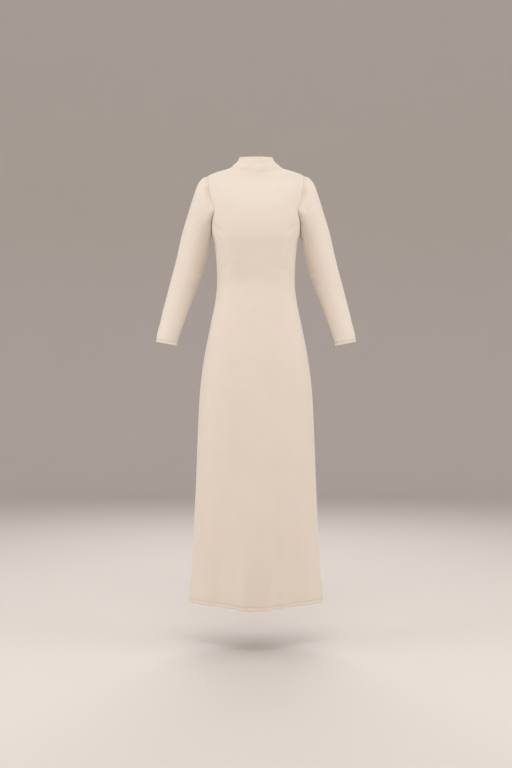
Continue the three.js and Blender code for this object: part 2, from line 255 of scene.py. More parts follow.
# Creases of the sleeves. Each end is a turn round the arm in degrees, from the
# underarm seam by way of the front, and a distance from the cuff's edge.
SLEEVE_CREASES = {
    "left": (
        # cuff and forearm
        (8, 20, 54, 15.5, 1, 2.6, -1.3),
        (-32, 23, 6, 17, -1, 3, -1.0),
        (118, 18, 152, 15, 0, 3, -0.4),
        (4, 93, 48, 88, 0, 3, -1.1),
        (0, 84, 32, 82, 0, 2.6, -0.8),
        (12, 101, 42, 99, 0, 2.6, -0.6),
        # inside of the elbow
        (-20, 262, 72, 250, 4, 7, -1.5),
        (-36, 238, 50, 231, -3, 6, -1.9),
        (-10, 211, 78, 204, 3, 7, -1.3),
        (-64, 226, -8, 237, 2, 6, -1.2),
        # underarm and sleeve cap
        (8, 470, 62, 438, 3, 6, -1.5),
        (-16, 456, 30, 420, 2, 7, -1.3),
        (24, 430, 62, 388, 2, 8, -1.0),
        (128, 522, 150, 486, 0, 4, -1.1),
        (110, 505, 138, 452, 3, 6, -0.8),
        (92, 474, 80, 420, 0, 8, -1.1),
        (70, 500, 78, 440, 0, 5, 1.0),
        (214, 520, 226, 470, 0, 6, -0.9),
        (262, 470, 290, 420, 3, 8, -1.3),
    ),
    "right": (
        (14, 21, 60, 16, 1, 2.8, -1.1),
        (-28, 24, 10, 17.5, -1, 2.8, -1.1),
        (132, 17, 160, 15, 0, 3, -0.4),
        (6, 96, 44, 92, 0, 2.8, -0.9),
        (-4, 86, 28, 85, 0, 2.6, -0.8),
        (-26, 256, 66, 246, 4, 7, -1.6),
        (-40, 231, 44, 226, -3, 6, -1.7),
        (-6, 203, 70, 198, 3, 7, -1.2),
        (-70, 219, -14, 229, 2, 6, -1.2),
        (12, 466, 66, 432, 3, 6, -1.4),
        (-20, 452, 26, 416, 2, 7, -1.3),
        (20, 424, 58, 384, 2, 8, -1.0),
        (134, 520, 152, 490, 0, 4, -0.8),
        (106, 500, 132, 448, 3, 7, -0.8),
        (88, 478, 78, 424, 0, 8, -1.0),
        (210, 516, 224, 466, 0, 6, -0.9),
        (266, 466, 292, 414, 3, 8, -1.2),
    ),
}

# Creases of the neck band. Each x is a distance round it from centre front.
COLLAR_CREASES = (
    (4, 30, 2, -6, 0, 12, -0.5),
    (-46, 24, -38, -4, 0, 12, 0.3),
    (50, 26, 40, -6, 0, 12, 0.3),
)

# How finely each piece is drawn, in millimetres or as counts.
PANEL_STEP = 5.2
PANEL_COLUMNS = 103
ARMHOLE_STEPS = 6
SHOULDER_STEPS = 20
SLEEVE_STEP = 4.0
SLEEVE_SPOTS = 96
SLEEVE_PLACES = 800  # how many places along a sleeve measure its length
COLLAR_ROWS = 22
COLLAR_COLUMNS = 160
ROUNDED_EDGE = (0.0, 0.12, 0.45, 0.9, 1.5)
BAND_ROWS = (2.6, 4.2, 5.8, 7.2)
GROOVE_ROWS = (-1.1, -0.75, -0.5, -0.25, 0, 0.25, 0.5, 0.75, 1.1, 1.7, 2.6)  # in needle gaps
PANEL_EDGE_SHARES = (0.0, 0.0009, 0.0028, 0.0056, 0.0085, 0.016)
SEAM_SPOTS = (0.0, 0.03, 0.07, 0.13)

# Relief of the cloth, in millimetres.
CREASE_FADE = 0.8  # the share of half a crease over which each end fades
BAND_HEIGHT = 0.45
GROOVE_DEPTH = 0.75
GROOVE_WIDTH = 0.8  # in needle gaps
SUNK_SEAM_REACH = 1.3
UNDERARM_SEAM_DEPTH = 0.3
UNDERARM_SEAM_REACH = 0.7
SEAM_DIP = 0.12  # how much of the cloth's round edge shows at a tight seam
SEAM_CALM = 4.0  # how near a seam the creases die away
ARM_ROUND = 300.0

# Puckers beside the sewing: their height, and how far from it they reach.
HEM_PUCKER = (0.16, 5.0)
SIDE_PUCKER = (0.12, 6.0)
UNDERARM_PUCKER = (0.2, 6.0)
ARMHOLE_PUCKER = (0.12, 6.0)
COLLAR_PUCKER = (0.06, 4.0)
PUCKER_LENGTH = 2.3
PUCKER_DRIFT = 1.9
PUCKER_DRIFT_LENGTH = 11.0
RIPPLE_SHARE = 0.6
RIPPLE_LENGTH = 1.37

# Layers of cloth behind the face, in millimetres, and how softly each one ends.
COLLAR_LAYERS = 1.4  # in thicknesses of the cloth
HEM_LAYER = 1.1
HEM_LAYER_STEP = 1.5
HEM_PAST_STITCHING = 1.5  # in needle gaps
SEAM_LAYER = 0.9
SEAM_LAYER_STEP = 1.2
SEAM_ALLOWANCE = 7.0

# One stitch: where its rings of points lie, how thick it is there, and how it arches.
STITCH_STATIONS = (-1.0, -0.7, 0.0, 0.7, 1.0)
STITCH_SWELL = (0.45, 0.85, 1.0, 0.85, 0.45)
STITCH_SIDES = 6
STITCH_SHARE = 0.9
STITCH_ARCH = 0.75  # in thicknesses of the thread
STITCH_SINK = 0.35

# The jersey's patterns, and how much each adds to its shade, roughness and height.
COURSE_SHARE = 0.8  # height of a loop, in widths
LOOP_LEAN = 0.6
LOOP_DEPTH = 0.45
NAP = dict(scale=900.0, detail=3.0, roughness=0.6)
SLUB = dict(scale=95.0, detail=3.0, roughness=0.55)
DYE = dict(scale=9.0, detail=2.0, roughness=0.5)
# gaps darken the colour as painted shade between the loops; nap, slub and dye darken it as random
# tone of the yarn.
SHADE = dict(gaps=0.22, nap=0.10, slub=0.16, dye=0.26, lift=0.10)
ROUGH = dict(nap=0.10, slub=0.06, least=0.76)
HEIGHT = dict(knit=0.7, nap=0.5, slub=0.5)
DEEP_THREAD = 0.8  # darkness of the thread's painted shade along its twist, and of its random flecks

# The stage, in metres and watts.
CAMERA_PLACE = (0, -3.467, -0.705)
CAMERA_LENS_MM = 50
CAMERA_SENSOR_MM = 36
FLOOR_Z = -1.555
FLOOR_RADIUS = 4.6
FLOOR_SIDES = 96
COVE_RADIUS = 2.6
COVE_ROWS = 24
WALL_HEIGHT = 6.0
PAPER = (0.66, 0.60, 0.56, 1.0)
DEEP_PAPER = (0.62, 0.56, 0.52, 1.0)
ROOM_COLOUR = (1.0, 1.0, 1.0, 1.0)
ROOM_STRENGTH = 0.66
SOFTBOXES = (
    dict(
        name="left softbox", place=(-2.4, -0.9, -0.2), aim=(0, 0, -0.6),
        size=(1.4, 2.4), power=26,
    ),
    dict(
        name="right softbox", place=(2.4, -0.9, -0.2), aim=(0, 0, -0.6),
        size=(1.4, 2.4), power=25,
    ),
    dict(
        name="top softbox", place=(0, -1.8, 1.9), aim=(0, 0, -0.5),
        size=(2.4, 1.4), power=36,
    ),
    dict(
        name="front softbox", place=(0, -3.2, -0.3), aim=(0, 0, -0.7),
        size=(2.6, 1.8), power=12,
    ),
    dict(
        name="back softbox", place=(0, 2.6, 1.2), aim=(0, 0, -0.6),
        size=(2.4, 1.8), power=48,
    ),
)


class DressSizes(bpy.types.PropertyGroup):
    """Sizes of the cloth and its stitching."""

    cloth: FloatProperty(
        name="Cloth", description="Thickness of the jersey",
        default=0.0016, min=0.0005, max=0.003, unit="LENGTH",
    )
    hem_depth: FloatProperty(
        name="Hem depth", description="From the bottom edge to the stitching",
        default=0.0110, min=0.005, max=0.04, unit="LENGTH",
    )
    cuff_depth: FloatProperty(
        name="Cuff depth", description="From the cuff's edge to the stitching",
        default=0.0100, min=0.005, max=0.04, unit="LENGTH",
    )
    needle_gap: FloatProperty(
        name="Needle gap", description="Between the two rows of stitching",
        default=0.0026, min=0.001, max=0.006, unit="LENGTH",
    )
    stitch: FloatProperty(
        name="Stitch", description="Length of one stitch",
        default=0.0031, min=0.0015, max=0.005, unit="LENGTH",
    )
    thread: FloatProperty(
        name="Thread", description="Thickness of the sewing thread",
        default=0.0005, min=0.0002, max=0.001, unit="LENGTH",
    )
    wale: FloatProperty(
        name="Wale", description="Width of one column of knitted loops",
        default=0.0009, min=0.0004, max=0.003, unit="LENGTH",
    )


class DressColours(bpy.types.PropertyGroup):
    """Colours of the cloth and thread."""

    cream: FloatVectorProperty(
        name="Cream", description="Face of the jersey", subtype="COLOR",
        size=3, min=0, max=1, default=(0.773, 0.680, 0.586),
    )
    # The dark end of the cloth's colour: painted shade in the gaps between the loops, and the
    # darker random tone of nap, slub and dye.
    gap_shade_and_tone: FloatVectorProperty(
        name="Deep cream", description="Hollows between the loops", subtype="COLOR",
        size=3, min=0, max=1, default=(0.62, 0.53, 0.44),
    )
    thread: FloatVectorProperty(
        name="Thread", description="Sewing thread", subtype="COLOR",
        size=3, min=0, max=1, default=(0.60, 0.51, 0.42),
    )


# ---------------------------------------------------------------- shape of the dress


def smooth_curve(place, keys, values):
    """Values at places along a table, on a smooth curve through its rows."""
    last = len(keys) - 1
    row = np.clip(np.searchsorted(keys, place) - 1, 0, last - 1)
    before = np.maximum(np.arange(last + 1) - 1, 0)
    after = np.minimum(np.arange(last + 1) + 1, last)
    slope = (values[after] - values[before]) / (keys[after] - keys[before])
    span = keys[row + 1] - keys[row]
    t = np.clip((place - keys[row]) / span, 0, 1)
    return (
        (2 * t**3 - 3 * t**2 + 1) * values[row]
        + (t**3 - 2 * t**2 + t) * span * slope[row]
        + (3 * t**2 - 2 * t**3) * values[row + 1]
        + (t**3 - t**2) * span * slope[row + 1]
    )


def smoothstep(share):
    """Eases from 0 to 1 as share does."""
    t = np.clip(share, 0, 1)
    return t * t * (3 - 2 * t)


def section_at(z, column):
    return smooth_curve(z, SECTIONS["z"], SECTIONS[column])


def folds_at(side, x, z, half):
    """How far the deep folds push the cloth out."""
    hem_x = x / half * SECTIONS["half"][0]
    total = np.zeros(np.broadcast(x, z).shape)
    for fold in FOLDS[side]:
        grown = smoothstep((fold["top"] - z) / (fold["top"] - HEM_Z))
        off = np.abs(hem_x - fold["x"]) / fold["wide"]
        total += fold["out"] * grown * np.exp(-(off ** fold["flat"]))
    return total


def body_point(side, turn, z):
    """Points of the body. turn is the angle from the centre line to the side seam."""
    half = section_at(z, "half")
    bulge = np.maximum(np.cos(turn), 0) ** section_at(z, side + "_pinch")
    lift = -section_at(z, "drop") if side == "front" else section_at(z, "rise")
    x = half * np.sin(turn)
    folds = folds_at(side, x, z, half) * np.minimum(1, FOLD_RISE * bulge)
    out = SEAM_GAP / 2 + section_at(z, side) * bulge + folds
    y = section_at(z, "mid") + OUTWARD[side] * out
    return np.stack(np.broadcast_arrays(x, y, z + lift * bulge**LIFT_CURVE), axis=-1)


def reach(side, z):
    """How far round the body a row goes: to the side seam, armhole or shoulder seam."""
    edge = smooth_curve(z, ARMHOLE["z"], ARMHOLE[side]) / section_at(z, "half")
    in_armhole = (z > UNDERARM_Z) & (z < SHOULDER_TIP_Z)
    return np.where(in_armhole, np.arcsin(np.clip(edge, -1, 1)), RIGHT_ANGLE)


def armhole_height(spot):
    """The height of a spot on the armhole, from 0 at the underarm to the shoulder tip."""
    return smooth_curve(spot, np.arange(ARMHOLE_SPANS + 1.0), ARMHOLE["z"])


def steps_between(start, end, step):
    """Even steps from start to end, both left out."""
    count = max(int(round((end - start) / step)), 1)
    return np.linspace(start, end, count + 1)[1:-1]


def band_rows(depth, needle_gap):
    """Distances from a turned edge that draw its round edge and its stitching."""
    groove = [depth + shift * needle_gap for shift in GROOVE_ROWS]
    return np.array([*ROUNDED_EDGE, *BAND_ROWS, *groove])


def panel_heights(sizes):
    """Heights of the rows of the front and back, finer at the edges and armhole."""
    hem = HEM_Z + band_rows(sizes.hem_depth / MM, sizes.needle_gap / MM)
    spots = np.arange(ARMHOLE_SPANS * ARMHOLE_STEPS + 1) / ARMHOLE_STEPS
    armhole = armhole_height(spots)
    top = COLLAR_SEAM_Z - SEAM_GAP / 2
    neck = top - np.array(ROUNDED_EDGE[::-1])
    skirt = steps_between(hem[-1], armhole[0], PANEL_STEP)
    shoulder = steps_between(armhole[-1], neck[0], (neck[0] - armhole[-1]) / SHOULDER_STEPS)
    return np.concatenate([hem, skirt, armhole, shoulder, neck])


def panel_shares():
    """Where the columns of a panel lie, from -1 at one side edge to 1 at the other."""
    edge = np.array(PANEL_EDGE_SHARES)
    inside = 1 - edge[-1] - 2 / PANEL_COLUMNS
    middle = np.linspace(-inside, inside, PANEL_COLUMNS)
    return np.concatenate([edge - 1, middle, 1 - edge[::-1]])


def panel_surface(side, sizes):
    """The front or back as a smooth form: a grid of points from hem to neck."""
    heights = panel_heights(sizes)[:, None]
    turns = -OUTWARD[side] * panel_shares() * reach(side, heights)
    return body_point(side, turns, heights)


def armhole_loop(spots):
    """The armhole as points, from the underarm up its front and down its back."""
    rows = np.minimum(spots, 2 * ARMHOLE_SPANS - spots)
    heights = armhole_height(rows)
    edges = {side: body_point(side, reach(side, heights), heights) for side in OUTWARD}
    loop = np.where((spots <= ARMHOLE_SPANS)[:, None], edges["front"], edges["back"])
    at_seam = (rows == 0) | (rows == ARMHOLE_SPANS)
    loop[at_seam] = (edges["front"][at_seam] + edges["back"][at_seam]) / 2
    return loop + [SEAM_GAP, 0, 0]


def sleeve_surface(sizes):
    """The left sleeve as a smooth form: a grid of points from cuff to armhole."""
    turns = 2 * ARMHOLE_SPANS
    seam = np.array(SEAM_SPOTS)
    even = np.arange(1, SLEEVE_SPOTS) * turns / SLEEVE_SPOTS
    spots = np.concatenate([seam, even, turns - seam[:0:-1]])
    loop = armhole_loop(spots)
    under = loop[0]
    top = loop[np.abs(spots - ARMHOLE_SPANS).argmin()]
    deep = np.abs(loop[:, 1] - under[1]).max()
    first = dict(
        inner_x=under[0], inner_z=under[2], outer_x=top[0], outer_z=top[2],
        mid=under[1], deep=deep, round=0.0,
    )
    rows = {name: np.append(first[name], values) for name, values in SLEEVE.items()}
    keys = np.arange(len(rows["mid"]), dtype=float)

    def ovals(place):
        row = {name: smooth_curve(place, keys, values) for name, values in rows.items()}
        inner = np.stack([row["inner_x"], row["mid"], row["inner_z"]], axis=-1)
        outer = np.stack([row["outer_x"], row["mid"], row["outer_z"]], axis=-1)
        half = (outer - inner) / 2
        square = np.stack([half[:, 2], 0 * half[:, 0], -half[:, 0]], axis=-1)
        return row, inner + half, half, square / np.linalg.norm(square, axis=-1)[:, None]

    # Where each armhole point lies along the first oval, across it and out of it.
    _, centre, half, onward = ovals(np.zeros(1))
    offset = loop - centre
    along = offset @ half[0] / (half[0] @ half[0])
    across = -offset[:, 1] / deep
    out = offset @ onward[0]

    fine = np.linspace(0, keys[-1], SLEEVE_PLACES)
    centres = ovals(fine)[1]
    length = np.append(0, np.cumsum(np.linalg.norm(np.diff(centres, axis=0), axis=1)))
    cuff = length[-1] - band_rows(sizes.cuff_depth / MM, sizes.needle_gap / MM)
    cap = np.array(ROUNDED_EDGE)
    between = steps_between(cap[-1], cuff[-1], SLEEVE_STEP)
    places = np.interp(np.concatenate([cap, between, cuff[::-1]]), length, fine)

    row, centre, half, onward = ovals(places)
    angle = 2 * math.pi * spots / turns
    rounded = row["round"][:, None]
    along = along + (-np.cos(angle) - along) * rounded
    across = across + (np.sin(angle) - across) * rounded
    out = out * (1 - rounded)
    grid = centre[:, None] + half[:, None] * along[..., None] + onward[:, None] * out[..., None]
    grid[..., 1] -= across * row["deep"][:, None]
    return grid[::-1], np.degrees(angle)


def collar_surface():
    """The neck band as a smooth form: a grid of points from its seam to its top."""
    edge = np.array(ROUNDED_EDGE)
    bottom = COLLAR_SEAM_Z + SEAM_GAP / 2 + edge
    top = COLLAR_TOP_Z - edge[::-1]
    step = (top[0] - bottom[-1]) / COLLAR_ROWS
    heights = np.concatenate([bottom, steps_between(bottom[-1], top[0], step), top])
    turn = 2 * math.pi * np.arange(COLLAR_COLUMNS) / COLLAR_COLUMNS
    side_turn = np.arcsin(np.sin(turn))
    faces = {side: body_point(side, side_turn, heights[:, None]) for side in OUTWARD}
    return np.where((np.cos(turn) > 0)[:, None], faces["front"], faces["back"])


# ---------------------------------------------------------------- cloth


def facing(grid, wraps):
    """The direction that a grid of points faces at each of them."""
    if wraps:
        across = np.roll(grid, -1, axis=1) - np.roll(grid, 1, axis=1)
    else:
        across = np.gradient(grid, axis=1)
    normal = np.cross(across, np.gradient(grid, axis=0))
    return normal / np.linalg.norm(normal, axis=-1, keepdims=True)


def run_lengths(grid, axis):
    """The distance from the first point of each row or column to every point in it."""
    steps = np.linalg.norm(np.diff(grid, axis=axis), axis=-1)
    width = [(0, 0), (0, 0)]
    width[axis] = (1, 0)
    return np.pad(np.cumsum(steps, axis=axis), width)


def crease_heights(across, up, creases, period=None):
    """How far a table of creases moves each point of the cloth out."""
    total = np.zeros_like(across)
    for x, z, to_x, to_z, bow, wide, out in creases:
        off_x = across - (x + to_x) / 2
        if period:
            off_x = (off_x + period / 2) % period - period / 2
        off_z = up - (z + to_z) / 2
        run = math.hypot(to_x - x, to_z - z)
        dir_x, dir_z = (to_x - x) / run, (to_z - z) / run
        along = (off_x * dir_x + off_z * dir_z) / (run / 2)
        aside = off_z * dir_x - off_x * dir_z - bow * (1 - along**2)
        fade = smoothstep((1 - np.abs(along)) / CREASE_FADE)
        total += out * fade * np.exp(-((aside / wide) ** 2))
    return total


def pucker(along, off, height, fade):
    """Small uneven waves that die away from a line of sewing."""
    drift = PUCKER_DRIFT * np.sin(along / PUCKER_DRIFT_LENGTH)
    ripple = RIPPLE_SHARE * np.sin(along / RIPPLE_LENGTH)
    wave = np.sin(along / PUCKER_LENGTH + drift) + ripple
    return height * wave * np.exp(-((off / fade) ** 2))


def turned_band(from_edge, along, depth, needle_gap):
    """The relief of a turned and stitched edge: a raised band below a sewn groove."""
    past = from_edge - depth
    band = BAND_HEIGHT * smoothstep(-past / needle_gap)
    groove = -GROOVE_DEPTH * np.exp(-((past / (GROOVE_WIDTH * needle_gap)) ** 2))
    return band + groove + pucker(along, past, *HEM_PUCKER)


def sunk_seam(to_armhole, z):
    """How far in the cloth is pulled beside an armhole's seam."""
    deep = np.interp(z, SUNK_SEAM["z"], SUNK_SEAM["deep"])
    return -deep * (z > UNDERARM_Z) * np.exp(-((to_armhole / SUNK_SEAM_REACH) ** 2))


def sewn_thickness(cloth, from_edge, to_seam, depth, needle_gap):
    """How thick the cloth is with its turned edge and its seam allowances."""
    turned_to = depth + HEM_PAST_STITCHING * needle_gap
    thick = np.full(from_edge.shape, cloth)
    thick += HEM_LAYER * smoothstep((turned_to - from_edge) / HEM_LAYER_STEP)
    return thick + SEAM_LAYER * smoothstep((SEAM_ALLOWANCE - to_seam) / SEAM_LAYER_STEP)


def rounding(edge, radius):
    """How far a rounded edge falls away at a distance from it."""
    left = np.clip(radius - edge, 0, radius)
    return radius - np.sqrt(radius**2 - left**2)


def wall_faces(outer, wraps, cloth, to_edge, to_seam, seam=None):
    """The two faces of a wall of cloth with round free edges and tight seams.

    cloth is the thickness, and to_edge and to_seam the distances to the nearest free
    and sewn edge, at each point. seam is the side and middle of a panel, whose wall
    stays on its own side of it.
    """
    normal = facing(outer, wraps)
    inset = rounding(to_edge, cloth / 2)
    inset = np.maximum(inset, SEAM_DIP * rounding(to_seam, cloth / 2))
    rest = rounding(np.minimum(to_edge, to_seam), cloth / 2)
    face = outer - normal * inset[..., None]
    lining = outer - normal * (cloth - rest)[..., None]
    if seam:
        sign, mid = seam
        for points in (face, lining):
            depth = np.maximum(sign * (points[..., 1] - mid), SEAM_GAP / 2)
            points[..., 1] = mid + sign * depth
    return face, lining


def cloth_object(name, face, lining, uv, wraps):
    """A closed cloth object between its two faces, which share their edge points."""
    rows, columns = face.shape[:2]
    front = np.arange(rows * columns).reshape(rows, columns)
    back = front.copy()
    inner = (slice(1, -1), slice(None) if wraps else slice(1, -1))
    back[inner] = rows * columns + np.arange(back[inner].size).reshape(back[inner].shape)
    points = np.concatenate([face.reshape(-1, 3), lining[inner].reshape(-1, 3)])
    if wraps:
        front, back = (np.hstack([index, index[:, :1]]) for index in (front, back))
    corners = ((0, 0), (0, 1), (1, 1), (1, 0))
    tall, wide = front.shape[0] - 1, front.shape[1] - 1

    def quads(grid, order):
        parts = [grid[r:r + tall, c:c + wide] for r, c in order]
        return np.stack(parts, axis=2).reshape(-1, 4, *grid.shape[2:])

    faces = np.concatenate([quads(front, corners), quads(back, corners[::-1])])
    places = np.concatenate([quads(uv, corners), quads(uv, corners[::-1])])
    mesh = bpy.data.meshes.new(name)
    mesh.from_pydata((points * MM).tolist(), [], faces.tolist())
    layer = mesh.uv_layers.new(name=UV_MAP)
    layer.uv.foreach_set("vector", (places * MM).astype(np.float32).ravel())
    mesh.shade_smooth()
    return link(bpy.data.objects.new(name, mesh))


def link(made):
    bpy.context.scene.collection.objects.link(made)
    return made


def signed_across(grid):
    """Distances across each row from its middle, with the sign of x."""
    run = run_lengths(grid, 1)
    across = run - run[:, [run.shape[1] // 2]]
    return across if grid[0, -1, 0] > grid[0, 0, 0] else -across


def across_at(grid, across, x, z):
    """The distance across the cloth at which a row near a height passes x."""
    middle = grid.shape[1] // 2
    row = np.abs(grid[:, middle, 2] - z).argmin()
    order = np.argsort(grid[row, :, 0])
    return float(np.interp(x, grid[row, order, 0], across[row, order]))


def panel_faces(side, sizes):
    """The finished faces of the front or back, and where each point was on the cloth."""
    depth, gap = sizes.hem_depth / MM, sizes.needle_gap / MM
    grid = panel_surface(side, sizes)
    across = signed_across(grid)
    up = run_lengths(grid, 0)
    run = run_lengths(grid, 1)
    to_side = np.minimum(run, run[:, -1:] - run)
    creases = [
        (across_at(grid, across, x, z), z, across_at(grid, across, to_x, to_z), to_z, *rest)
        for x, z, to_x, to_z, *rest in PANEL_CREASES[side]
    ]
    relief = crease_heights(across, grid[..., 2], creases)
    relief += turned_band(up, across, depth, gap)
    relief += pucker(up, to_side, *SIDE_PUCKER)
    relief *= smoothstep(to_side / SEAM_CALM) * smoothstep((up[-1] - up) / SEAM_CALM)
    relief += sunk_seam(to_side, grid[..., 2])
    outer = grid + facing(grid, False) * relief[..., None]
    thick = sewn_thickness(sizes.cloth / MM, up, to_side, depth, gap)
    to_seam = np.minimum(to_side, up[-1] - up)
    mid = section_at(panel_heights(sizes), "mid")[:, None]
    face, lining = wall_faces(outer, False, thick, up, to_seam, (OUTWARD[side], mid))
    uv = np.stack([across, np.broadcast_to(up.mean(axis=1)[:, None], up.shape)], axis=-1)
    return face, lining, uv, up


def sleeve_faces(hand, sizes):
    """The finished faces of a sleeve, and where each point was on the cloth."""
    depth, gap = sizes.cuff_depth / MM, sizes.needle_gap / MM
    grid, turn = sleeve_surface(sizes)
    up = run_lengths(grid, 0)
    closed = np.concatenate([grid, grid[:, :1]], axis=1)
    run = run_lengths(closed, 1)
    to_seam = np.minimum(run, run[:, -1:] - run)[:, :-1]
    from_cuff = np.broadcast_to(up.mean(axis=1)[:, None], up.shape)
    around = np.broadcast_to(turn / 360 * ARM_ROUND, up.shape)
    creases = [
        (a / 360 * ARM_ROUND, b, c / 360 * ARM_ROUND, d, *rest)
        for a, b, c, d, *rest in SLEEVE_CREASES[hand]
    ]
    relief = crease_heights(around, from_cuff, creases, ARM_ROUND)
    relief += turned_band(up, run[:, :-1], depth, gap)
    relief += pucker(from_cuff, to_seam, *UNDERARM_PUCKER)
    relief += pucker(run[:, :-1], up[-1] - up, *ARMHOLE_PUCKER)
    relief *= smoothstep((up[-1] - up) / SEAM_CALM)
    relief += sunk_seam(up[-1] - up, grid[-1, :, 2])
    relief -= UNDERARM_SEAM_DEPTH * np.exp(-((to_seam / UNDERARM_SEAM_REACH) ** 2))
    outer = grid + facing(grid, True) * relief[..., None]
    thick = sewn_thickness(sizes.cloth / MM, up, to_seam, depth, gap)
    face, lining = wall_faces(outer, True, thick, up, up[-1] - up)
    level = np.broadcast_to(up.mean(axis=1)[:, None], run.shape)
    uv = np.stack([run - run[:, -1:] / 2, level], axis=-1)
    if hand == "right":
        face, lining = (points[:, ::-1] * [-1, 1, 1] for points in (face, lining))
        face, lining = (np.roll(points, 1, axis=1) for points in (face, lining))
        uv = uv[:, ::-1] * [-1, 1]
        up = np.roll(up[:, ::-1], 1, axis=1)
    return face, lining, uv, up


def collar_faces(sizes):
    """The finished faces of the neck band, which is two layers of cloth."""
    grid = collar_surface()
    closed = np.concatenate([grid, grid[:, :1]], axis=1)
    run = run_lengths(closed, 1)
    up = run_lengths(grid, 0)
    across = (run[:, :-1] + run[:, -1:] / 2) % run[:, -1:] - run[:, -1:] / 2
    relief = crease_heights(across, grid[..., 2], COLLAR_CREASES)
    relief += pucker(across, up, *COLLAR_PUCKER)
    relief *= smoothstep(up / SEAM_CALM)
    outer = grid + facing(grid, True) * relief[..., None]
    thick = np.full(up.shape, COLLAR_LAYERS * sizes.cloth / MM)
    face, lining = wall_faces(outer, True, thick, up[-1] - up, up)
    level = np.broadcast_to(up.mean(axis=1)[:, None], run.shape)
    return face, lining, np.stack([run, level], axis=-1)


# ---------------------------------------------------------------- stitching


def edge_path(face, up, distance, wraps):
    """The line on a cloth face at a distance from its first row, and its facing."""
    if wraps:
        face = np.concatenate([face, face[:, :1]], axis=1)
        up = np.concatenate([up, up[:, :1]], axis=1)
    normal = facing(face, False)
    columns = range(face.shape[1])

    def along(grid, axis):
        return [np.interp(distance, up[:, c], grid[:, c, axis]) for c in columns]

    path = np.stack([along(face, axis) for axis in range(3)], axis=-1)
    facings = np.stack([along(normal, axis) for axis in range(3)], axis=-1)
    return path, facings


def stitch_points(path, facings, pitch, thread):
    """Rings of points for threads laid end to end along a path, and faces for them."""
    length = np.append(0, np.cumsum(np.linalg.norm(np.diff(path, axis=0), axis=1)))
    count = int(length[-1] // pitch)
    stations = np.array(STITCH_STATIONS)
    centre = (np.arange(count) + 0.5) * (length[-1] / count)
    places = centre[:, None] + stations * (0.5 * STITCH_SHARE * pitch)
    spots, normals = (
        np.stack([np.interp(places, length, grid[:, a]) for a in range(3)], axis=-1)
        for grid in (path, facings)
    )
    normals /= np.linalg.norm(normals, axis=-1, keepdims=True)
    tangent = np.gradient(spots, axis=1)
    tangent /= np.linalg.norm(tangent, axis=-1, keepdims=True)
    side = np.cross(tangent, normals)
    arch = thread * (STITCH_ARCH * (1 - stations**2) - STITCH_SINK)
    spots = spots + normals * arch[:, None]
    radius = thread / 2 * np.array(STITCH_SWELL)
    angle = 2 * math.pi * np.arange(STITCH_SIDES) / STITCH_SIDES
    ring = side[:, :, None] * np.cos(angle)[:, None]
    ring += normals[:, :, None] * np.sin(angle)[:, None]
    points = spots[:, :, None] + ring * radius[:, None, None]
    index = np.arange(points[..., 0].size).reshape(points.shape[:3])
    turned = np.roll(index, -1, axis=2)
    quads = [index[:, :-1], index[:, 1:], turned[:, 1:], turned[:, :-1]]
    sides = np.stack(quads, axis=-1).reshape(-1, 4)
    caps = [*index[:, 0].tolist(), *index[:, -1, ::-1].tolist()]
    return points.reshape(-1, 3), sides.tolist() + caps


def stitching_object(name, face, up, depth, wraps, sizes):
    """Two rows of stitches round a turned edge."""
    gap = sizes.needle_gap / MM
    points, faces = [], []
    for shift in (-gap / 2, gap / 2):
        path, facings = edge_path(face, up, depth + shift, wraps)
        new, quads = stitch_points(path, facings, sizes.stitch / MM, sizes.thread / MM)
        start = sum(len(group) for group in points)
        points.append(new)
        faces += [[corner + start for corner in quad] for quad in quads]
    mesh = bpy.data.meshes.new(name)
    mesh.from_pydata((np.concatenate(points) * MM).tolist(), [], faces)
    mesh.shade_smooth()
    return link(bpy.data.objects.new(name, mesh))


# ---------------------------------------------------------------- materials


class Value:
    """A shader socket that can be used in sums, which add Math nodes."""

    def __init__(self, finish, socket):
        self.finish = finish
        self.socket = socket

    def maths(self, operation, *others):
        inputs = dict(enumerate((self, *others)))
        return self.finish.node("Math", {"operation": operation}, inputs)

    def __add__(self, other):
        return self.maths("ADD", other)

    __radd__ = __add__

    def __mul__(self, other):
        return self.maths("MULTIPLY", other)

    __rmul__ = __mul__

    def __sub__(self, other):
        return self.maths("SUBTRACT", other)

    def __rsub__(self, other):
        return (self * -1.0) + other

    def __truediv__(self, other):
        return self.maths("DIVIDE", other)

    def __abs__(self):
        return self.maths("ABSOLUTE")


class Finish:
    """One material and its nodes."""

    def __init__(self, name):
        self.material = bpy.data.materials.new(name)
        self.material.use_nodes = True
        self.tree = self.material.node_tree
        self.tree.nodes.clear()

    def node(self, kind, settings=None, sockets=None, output=0):
        """Adds a node: its settings first, then what its sockets hold or take."""
        made = self.tree.nodes.new("ShaderNode" + kind)
        for name, setting in (settings or {}).items():
            if name == "stops":
                self.set_stops(made.color_ramp, setting)
            else:
                setattr(made, name, setting)
        for name, value in (sockets or {}).items():
            if isinstance(value, Value):
                self.tree.links.new(value.socket, made.inputs[name])
            else:
                made.inputs[name].default_value = value
        return Value(self, made.outputs[output]) if made.outputs else None

    @staticmethod
    def set_stops(ramp, stops):
        while len(ramp.elements) < len(stops):
            ramp.elements.new(1.0)
        for element, (place, shade) in zip(ramp.elements, stops):
            element.position = place
            element.color = (shade, shade, shade, 1)

    def noise(self, place, scale, detail=2.0, roughness=0.5):
        sockets = {"Vector": place, "Scale": scale, "Detail": detail, "Roughness": roughness}
        return self.node("TexNoise", {"noise_dimensions": "3D"}, sockets)

    def mix(self, factor, first, second):
        """One colour turning into another. A Mix node's colour sockets go by number."""
        sockets = {0: factor, 6: first, 7: second}
        return self.node("Mix", {"data_type": "RGBA", "clamp_factor": True}, sockets, 2)

    def place(self):
        """Where a point lies on its own piece."""
        return self.node("TexCoord", output="Object")


def colour(value):
    return (*value, 1.0)


